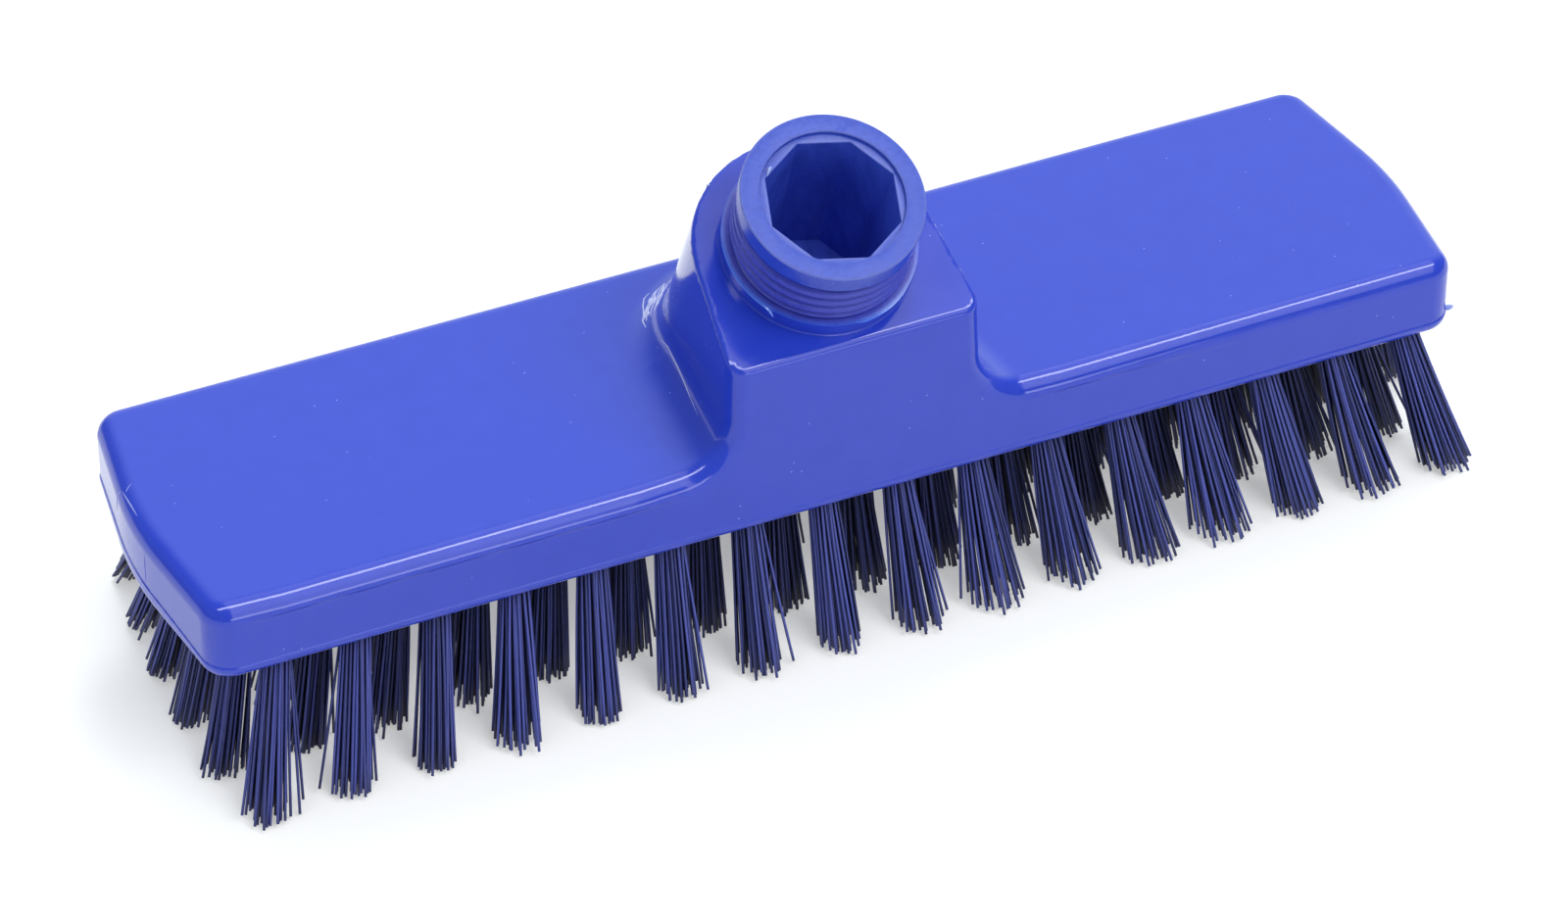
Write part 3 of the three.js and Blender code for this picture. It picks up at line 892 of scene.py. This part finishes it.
def free_path(mouth, tip, places, tip_radius):
    """Points of filaments from their trimmed tips up to the mouth of their hole."""
    count = len(places)
    spread = places * tip_radius + rng.normal(0, TIP_SCATTER, places.shape)
    stray = rng.random(count) < STRAY_SHARE
    spread = spread * np.where(stray, rng.uniform(*STRAY_REACH, count), 1.0)[:, None]
    end = tip + plan_points(spread)
    short = np.abs(rng.normal(0, TRIM_SCATTER, count)) + TRIM_DOME * np.sum(places * places, axis=-1)
    reach = 1 - np.clip(short, *TRIM_LIMITS) / TRIM_LENGTH
    bow = plan_points(rng.normal(0, FILAMENT_BOW, places.shape))
    path = []
    for step in np.linspace(1, 0, FREE_POINTS):
        share = (step * reach)[:, None]
        lean = share * (EARLY_LEAN + (1 - EARLY_LEAN) * share)
        point = mouth + (end - mouth) * np.concatenate([lean, lean, share], axis=-1)
        path.append(point + bow * np.sin(math.pi * share))
    return np.stack(path, axis=1)


def half_paths(root, tip, places, tip_radius, wire, beside):
    """One half of a tuft's filaments: the free stretch, two places in the hole and the fold."""
    inward = (root - tip) / TRIM_LENGTH
    mouth = root + plan_points(places * TUFT_ROOT_RADIUS)
    free = free_path(mouth, tip, places, tip_radius)
    along = (places @ wire)[:, None] * wire * TUFT_ROOT_RADIUS
    layer = (np.arange(len(places)) % FOLD_LAYERS)[:, None] * 2 * FILAMENT_RADIUS
    depth = HOLE_DEPTH - FOLD_CLEARANCE - layer
    held = root + inward * depth + plan_points(along + beside)
    inside = (mouth + held) / 2 + inward * INNER_RISE
    fold = root + inward * (depth + FOLD_RISE) + plan_points(along)
    return free, inside, held, fold


def filament_paths(root, tip, tip_radius, turn):
    """Paths of a tuft's filaments, each folded over the anchor and leaving the hole twice."""
    swing = rng.uniform(0, 2 * math.pi)
    cos, sin = math.cos(swing), math.sin(swing)
    places = sunflower(2 * FOLDS_PER_TUFT) @ np.array([[cos, sin], [-sin, cos]])
    wire = np.array([math.cos(turn), math.sin(turn)])
    cross = np.array([-wire[1], wire[0]])
    order = np.argsort(places @ cross)
    halves = []
    for half, side in ((order[:FOLDS_PER_TUFT], -1), (order[FOLDS_PER_TUFT:], 1)):
        in_line = half[np.argsort(places[half] @ wire)]
        beside = cross * side * (ANCHOR_THICKNESS / 2 + HELD_GAP)
        halves.append(half_paths(root, tip, places[in_line], tip_radius, wire, beside))
    (free_a, inside_a, held_a, fold_a), (free_b, inside_b, held_b, fold_b) = halves
    fold = (fold_a + fold_b) / 2
    middle = np.stack([inside_a, held_a, fold, held_b, inside_b], axis=1)
    return np.concatenate([free_a, middle, free_b[:, ::-1]], axis=1)


def tuft(column, row, turn):
    """One tuft of folded filaments, with each filament's own shade kept on its points."""
    root, tip = tuft_line(column, row)
    tip_radius = np.interp(row, [0, TUFT_ROWS - 1], [FRONT_TIP_RADIUS, BACK_TIP_RADIUS])
    tip_radius *= np.interp(column, FAN_COLUMNS, FAN_SHARES) * rng.uniform(*FAN_SPREAD)
    paths = filament_paths(root, tip, tip_radius, turn)
    levels = paths.shape[1]
    points = tubes(paths, FILAMENT_RADIUS, FILAMENT_SIDES)
    points[:, 2] = np.maximum(points[:, 2], -TRIM_LENGTH)
    faces = tube_faces(levels, FILAMENT_SIDES, FOLDS_PER_TUFT)
    piece = new_object(f"tuft_{column + 1:02d}_{row + 1}", points, faces)
    keep_number(piece, "shade", np.repeat(rng.random(FOLDS_PER_TUFT), levels * FILAMENT_SIDES))
    piece.data.shade_smooth()
    return piece


def anchor_points(root, inward, turn):
    """Flat wire across the fold of a tuft: a strip with rounded long edges and pinched ends."""
    wire = np.array([math.cos(turn), math.sin(turn), 0.0])
    cross = np.array([-wire[1], wire[0], 0.0])
    middle = root + inward * (HOLE_DEPTH - ANCHOR_CLEARANCE - ANCHOR_HEIGHT / 2 - FILAMENT_RADIUS)
    angles = np.arange(ANCHOR_SIDES) * 2 * math.pi / ANCHOR_SIDES
    section = [np.sign(np.cos(angles)) * np.abs(np.cos(angles)) ** ANCHOR_SQUARENESS, np.sin(angles)]
    rings = []
    for share, pinch in ANCHOR_RINGS:
        centre = middle + wire * ANCHOR_LENGTH * share
        thick = cross * ANCHOR_THICKNESS / 2 * pinch
        tall = inward * ANCHOR_HEIGHT / 2 * pinch
        rings.append(centre + section[0][:, None] * thick + section[1][:, None] * tall)
    return np.concatenate(rings)


# Materials
def shader(name):
    """New node material and its surface shader."""
    made = bpy.data.materials.new(name)
    made.use_nodes = True
    return made, made.node_tree, made.node_tree.nodes["Principled BSDF"]


def node(tree, kind, inputs=None, **settings):
    """New node with its settings and the values or links of its inputs."""
    made = tree.nodes.new(kind)
    for key, value in settings.items():
        setattr(made, key, value)
    for key, value in (inputs or {}).items():
        if isinstance(value, bpy.types.NodeSocket):
            tree.links.new(value, made.inputs[key])
        else:
            made.inputs[key].default_value = value
    return made


def noise(tree, place, scale, detail):
    """Even noise over the material's own coordinates, with its scale per metre."""
    made = node(tree, "ShaderNodeTexNoise", {"Vector": place, "Scale": scale, "Detail": detail})
    return made.outputs["Fac"]


def kept_number(tree, name):
    """Number that the mesh keeps for its material."""
    return node(tree, "ShaderNodeAttribute", attribute_name=name).outputs["Fac"]


def between(tree, share, low, high):
    """Number that goes from low to high with a share from 0 to 1."""
    return node(tree, "ShaderNodeMapRange", {"Value": share, "To Min": low, "To Max": high}).outputs["Result"]


def blend(tree, share, first, second):
    """Colour that goes from a first to a second with a share from 0 to 1."""
    made = node(tree, "ShaderNodeMix", {"Factor": share}, data_type="RGBA")
    for key, colour in ((6, first), (7, second)):
        if isinstance(colour, bpy.types.NodeSocket):
            tree.links.new(colour, made.inputs[key])
        else:
            made.inputs[key].default_value = (*colour, 1)
    return made.outputs[2]


def calculate(tree, operation, first, second):
    """Result of a sum on two numbers."""
    return node(tree, "ShaderNodeMath", {0: first, 1: second}, operation=operation).outputs["Value"]


def kept_share(tree, name, most):
    """Number that the mesh keeps, times the most that it may count for."""
    return calculate(tree, "MULTIPLY", kept_number(tree, name), most)


def dust(tree, place):
    """Few and far pale grains on the surface."""
    cells = node(tree, "ShaderNodeTexVoronoi", {"Vector": place, "Scale": DUST_SCALE})
    near = calculate(tree, "LESS_THAN", cells.outputs["Distance"], DUST_SIZE)
    pick = node(tree, "ShaderNodeSeparateColor", {"Color": cells.outputs["Color"]})
    chosen = calculate(tree, "GREATER_THAN", pick.outputs["Red"], DUST_LEFT_OUT)
    return calculate(tree, "MULTIPLY", calculate(tree, "MULTIPLY", near, chosen), DUST_STRENGTH)


def drawn_blue(tree, place):
    """Blue of the bore, streaked along the socket where the core was drawn out."""
    turned = node(tree, "ShaderNodeMapping", {
        "Vector": place,
        "Rotation": (-SOCKET_TILT, 0, 0),
        "Scale": (1, 1, 0.1),
    })
    streaks = noise(tree, turned.outputs["Vector"], scale=420, detail=3)
    return blend(tree, streaks, *BORE_BLUES)


def plastic_colour(tree, place, mottle, grain):
    """Blue of the block: matt on the socket, pale where it is creased (partly a painted highlight) or dusty,
    with a painted highlight on the socket's edges, clear at the flash.
    """
    gloss = blend(tree, mottle, *GLOSS_BLUES)
    matt = blend(tree, between(tree, grain, -0.5, 1.5), *SATIN_BLUES)
    blue = blend(tree, kept_share(tree, "satin", 0.85), gloss, matt)
    blue = blend(tree, kept_share(tree, "thread", 0.55), blue, THREAD_BLUE)
    blue = blend(tree, kept_number(tree, "bore"), blue, drawn_blue(tree, place))
    blue = blend(tree, dust(tree, place), blue, DUST_COLOUR)
    # Pale creases and flash, partly a painted highlight, and a painted highlight on the socket's edges
    blue = blend(tree, kept_share(tree, "pale_and_highlight", 0.7), blue, PALE_AND_HIGHLIGHT_COLOUR)
    clear = calculate(tree, "MULTIPLY", kept_number(tree, "clear"), between(tree, mottle, 0.4, 1.1))
    return blend(tree, clear, blue, FLASH_BLUE)


def plastic_skin(tree, place, mottle, satin_grain):
    """Normals of the block's surface: slow waves, fine dimples, and grain where it is satin."""
    waves = node(tree, "ShaderNodeBump", {
        "Height": noise(tree, place, scale=26, detail=2),
        "Strength": 0.2,
        "Distance": 0.0006,
    })
    dimples = node(tree, "ShaderNodeBump", {
        "Height": mottle,
        "Strength": 0.08,
        "Distance": 0.0002,
        "Normal": waves.outputs["Normal"],
    })
    skin = node(tree, "ShaderNodeBump", {
        "Height": satin_grain,
        "Strength": 0.5,
        "Distance": 0.0001,
        "Normal": dimples.outputs["Normal"],
    })
    return skin.outputs["Normal"]


def block_plastic():
    """Glossy blue moulded polypropylene, satin on the socket."""
    made, tree, surface = shader("block_plastic")
    place = node(tree, "ShaderNodeTexCoord").outputs["Object"]
    mottle = noise(tree, place, scale=190, detail=4)
    grain = noise(tree, place, scale=1100, detail=3)
    satin = kept_number(tree, "satin")
    satin_grain = calculate(tree, "MULTIPLY", satin, grain)
    dull = calculate(tree, "MULTIPLY", satin, between(tree, grain, *SATIN_ROUGHNESS))
    roughness = calculate(tree, "ADD", between(tree, mottle, *GLOSS_ROUGHNESS), dull)
    tree.links.new(plastic_colour(tree, place, mottle, grain), surface.inputs["Base Color"])
    tree.links.new(roughness, surface.inputs["Roughness"])
    tree.links.new(between(tree, satin, *GLOSS_TO_SATIN_SPECULAR), surface.inputs["Specular IOR Level"])
    tree.links.new(plastic_skin(tree, place, mottle, satin_grain), surface.inputs["Normal"])
    surface.inputs["IOR"].default_value = PLASTIC_IOR
    return made


def filament():
    """Dark blue extruded filament, of a shade of its own, with painted shade that darkens it deep among the
    others.
    """
    made, tree, surface = shader("filament")
    place = node(tree, "ShaderNodeTexCoord").outputs["Object"]
    wear = noise(tree, place, scale=420, detail=3)
    blue = blend(tree, kept_number(tree, "shade"), *FILAMENT_BLUES)
    blue = blend(tree, between(tree, wear, -0.3, 0.5), blue, WORN_BLUE)
    # Painted shade: the colour darkens where other filaments close a place in
    openness = node(tree, "ShaderNodeAmbientOcclusion", {"Distance": SHADE_REACH}, samples=SHADE_RAYS)
    lit = calculate(tree, "MULTIPLY", openness.outputs["AO"], OPEN_GAIN)
    tree.links.new(blend(tree, lit, PAINTED_SHADE_BLUE, blue), surface.inputs["Base Color"])
    tree.links.new(between(tree, wear, *FILAMENT_ROUGHNESS), surface.inputs["Roughness"])
    surface.inputs["Specular IOR Level"].default_value = FILAMENT_SPECULAR
    return made


def anchor_wire():
    """Bright drawn steel wire."""
    made, tree, surface = shader("anchor_wire")
    place = node(tree, "ShaderNodeTexCoord").outputs["Object"]
    drawn = noise(tree, place, scale=2600, detail=3)
    tree.links.new(blend(tree, drawn, *WIRE_GREYS), surface.inputs["Base Color"])
    tree.links.new(between(tree, drawn, *WIRE_ROUGHNESS), surface.inputs["Roughness"])
    surface.inputs["Metallic"].default_value = 1
    return made


def floor_white():
    """Plain pale floor that glows faintly, so that its shadows stay soft, and is see-through from below."""
    made, tree, surface = shader("floor_white")
    surface.inputs["Base Color"].default_value = FLOOR_COLOUR
    surface.inputs["Emission Color"].default_value = (1, 1, 1, 1)
    surface.inputs["Emission Strength"].default_value = FLOOR_GLOW
    surface.inputs["Roughness"].default_value = FLOOR_ROUGHNESS
    below = node(tree, "ShaderNodeNewGeometry").outputs["Backfacing"]
    clear = node(tree, "ShaderNodeBsdfTransparent").outputs["BSDF"]
    mixed = node(tree, "ShaderNodeMixShader", {0: below, 1: surface.outputs["BSDF"], 2: clear})
    tree.links.new(mixed.outputs["Shader"], tree.nodes["Material Output"].inputs["Surface"])
    return made


def dress(piece, material):
    """Gives a piece its material and its place on the object's body."""
    piece.data.materials.clear()
    piece.data.materials.append(material)
    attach(piece, "root")


def build_block():
    """The moulded block, in place of its solid."""
    block = brush_block()
    dress(block, block_plastic())
    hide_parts("brush_block")


def build_tufts():
    """All the tufts, in place of their banks, and the anchors of each row as one group."""
    bristle = filament()
    wire = anchor_wire()
    points = [[] for _ in range(TUFT_ROWS)]
    for column, row in all_tufts():
        root, tip = tuft_line(column, row)
        turn = rng.normal(ANCHOR_TURN, ANCHOR_SWAY)
        piece = tuft(column, row, turn)
        dress(piece, bristle)
        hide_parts(f"bristle_bank_{column * BANK_COUNT // TUFT_COLUMNS + 1}")
        points[row].append(anchor_points(root, (root - tip) / TRIM_LENGTH, turn))
    for row, strips in enumerate(points):
        faces = tube_faces(len(ANCHOR_RINGS), ANCHOR_SIDES, len(strips))
        group = new_object(f"anchors_row_{row + 1}", np.concatenate(strips), faces)
        group.data.shade_smooth()
        group.data.set_sharp_from_angle(angle=ANCHOR_SHARP_ANGLE)
        dress(group, wire)


# Stage
def direction(azimuth, elevation):
    """Unit vector towards a place round the object. Azimuth 0 is the front, -Y, and 90 degrees is +X."""
    flat = math.cos(elevation)
    return Vector((math.sin(azimuth) * flat, -math.cos(azimuth) * flat, math.sin(elevation)))


def make_camera():
    """Camera where the photograph was taken from."""
    lens = bpy.data.cameras.new("camera")
    lens.sensor_width = SENSOR_WIDTH
    lens.lens = SENSOR_WIDTH * FOCAL_PIXELS / IMAGE_WIDTH
    lens.clip_start, lens.clip_end = CLIP_NEAR, CLIP_FAR
    camera = bpy.data.objects.new("camera", lens)
    bpy.context.scene.collection.objects.link(camera)
    back = direction(CAMERA_AZIMUTH, CAMERA_ELEVATION)
    turn = back.to_track_quat("Z", "Y") @ Matrix.Rotation(CAMERA_ROLL, 3, "Z").to_quaternion()
    camera.matrix_world = Matrix.LocRotScale(CAMERA_TARGET + back * CAMERA_DISTANCE, turn, None)
    bpy.context.scene.camera = camera


def softbox(name, azimuth, elevation, width, height, radiance, roll=0, fills=True, shines=True):
    """Area light that faces the object from a direction in degrees, as bright as its radiance says."""
    light = bpy.data.lights.new(name, "AREA")
    light.shape = "RECTANGLE"
    light.size, light.size_y = width, height
    light.energy = radiance * math.pi * width * height
    box = bpy.data.objects.new(name, light)
    bpy.context.scene.collection.objects.link(box)
    box.visible_diffuse = fills
    box.visible_glossy = shines
    away = direction(math.radians(azimuth), math.radians(elevation))
    turn = away.to_track_quat("Z", "Y") @ Matrix.Rotation(math.radians(roll), 3, "Z").to_quaternion()
    box.matrix_world = Matrix.LocRotScale(away * LIGHT_DISTANCE, turn, None)


def make_surroundings():
    """Dim surroundings that brighten softly behind the object."""
    world = bpy.data.worlds.new("world")
    world.use_nodes = True
    tree = world.node_tree
    place = node(tree, "ShaderNodeTexCoord")
    facing = node(tree, "ShaderNodeVectorMath", {
        0: place.outputs["Generated"],
        1: direction(GLOW_AZIMUTH, GLOW_ELEVATION),
    }, operation="DOT_PRODUCT")
    share = node(tree, "ShaderNodeMapRange", {
        "Value": facing.outputs["Value"],
        "From Min": math.cos(GLOW_EDGE),
        "From Max": math.cos(GLOW_CORE),
        "To Min": DIM_STRENGTH,
        "To Max": GLOW_STRENGTH,
    }, interpolation_type="SMOOTHSTEP")
    background = tree.nodes["Background"]
    background.inputs["Color"].default_value = SURROUNDINGS_COLOUR
    tree.links.new(share.outputs["Result"], background.inputs["Strength"])
    bpy.context.scene.world = world


def make_stage():
    """Pale floor, dim surroundings and the lights."""
    corners = np.array([(-1, -1, 0), (1, -1, 0), (1, 1, 0), (-1, 1, 0)])
    floor = new_object("floor", corners * FLOOR_REACH - (0, 0, TRIM_LENGTH), [(0, 1, 2, 3)])
    floor.data.materials.append(floor_white())
    make_surroundings()
    for name, values in FILLS.items():
        softbox(name, *values, shines=False)
    for name, values in PANELS.items():
        softbox(name, *values, fills=False)
    bpy.context.scene.view_settings.view_transform = "Standard"


make_camera()
build_block()
build_tufts()
make_stage()
